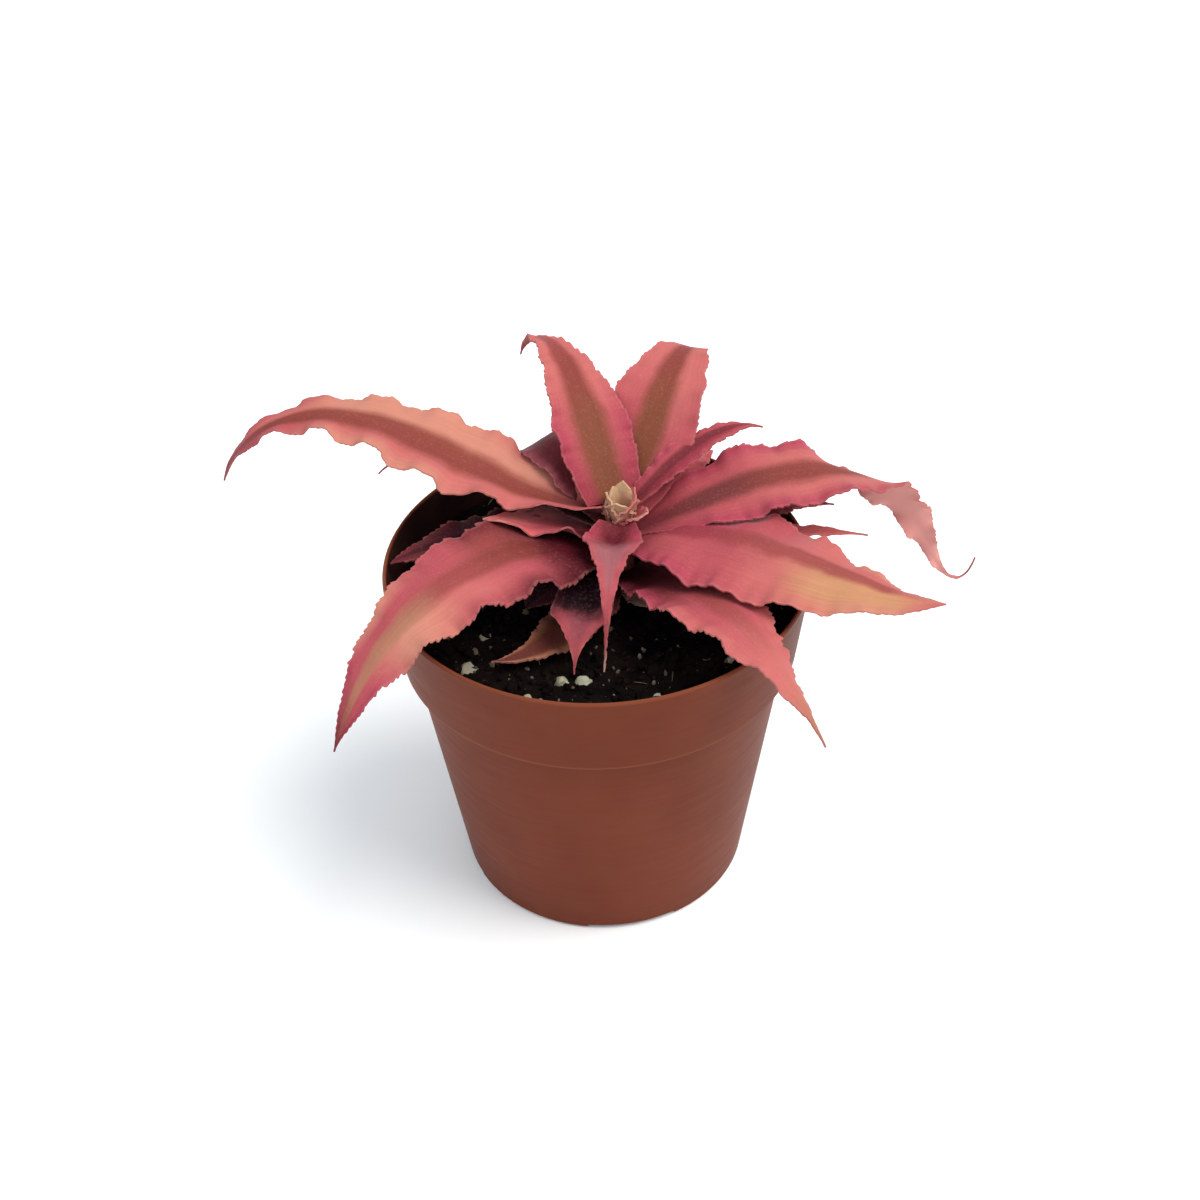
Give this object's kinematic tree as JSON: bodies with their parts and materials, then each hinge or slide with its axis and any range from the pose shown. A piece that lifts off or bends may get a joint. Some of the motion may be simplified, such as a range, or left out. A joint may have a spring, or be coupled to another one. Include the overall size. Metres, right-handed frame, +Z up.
{
  "type": "potted earth star bromeliad",
  "caption": "Earth star bromeliad, a flat rosette of pink, waved and toothed leaves, growing in potting mix in a tapered plastic nursery pot with a collar.",
  "frame": {"origin": "centre of the pot's flat underside, on the surface it stands on", "axes": "+Z up, -Y towards the front of the plant, +X to the right along its two longest leaves"},
  "size_m": [0.1997, 0.1339, 0.1282],
  "materials": {
    "pot_plastic": "satin",
    "potting_mix": "matte",
    "heart_cream": "satin",
    "leaf_rose": "satin",
    "leaf_shaded": "satin",
    "leaf_aged": "matte"
  },
  "bodies": {
    "root": {"pot": "pot_plastic", "soil": "potting_mix", "stem_and_heart": "heart_cream", "leaf_front_upper": "leaf_rose", "leaf_back_right": "leaf_rose", "leaf_back_left": "leaf_rose", "leaf_right_raised": "leaf_rose", "leaf_left_long": "leaf_rose", "leaf_right_long": "leaf_rose", "leaf_left_small": "leaf_shaded", "leaf_right_front": "leaf_rose", "leaf_left_front": "leaf_rose", "leaf_front_right": "leaf_rose", "leaf_front_lower": "leaf_rose", "leaf_back_shaded": "leaf_shaded", "leaf_left_under": "leaf_shaded", "leaf_left_low": "leaf_shaded", "leaf_left_shaded": "leaf_shaded", "leaf_on_soil": "leaf_aged", "leaf_front_pale": "leaf_aged", "leaf_right_under": "leaf_rose", "leaf_right_shaded": "leaf_shaded", "leaf_behind_right": "leaf_shaded", "leaf_behind": "leaf_shaded", "leaf_behind_left": "leaf_shaded"}
  },
  "joints": []
}
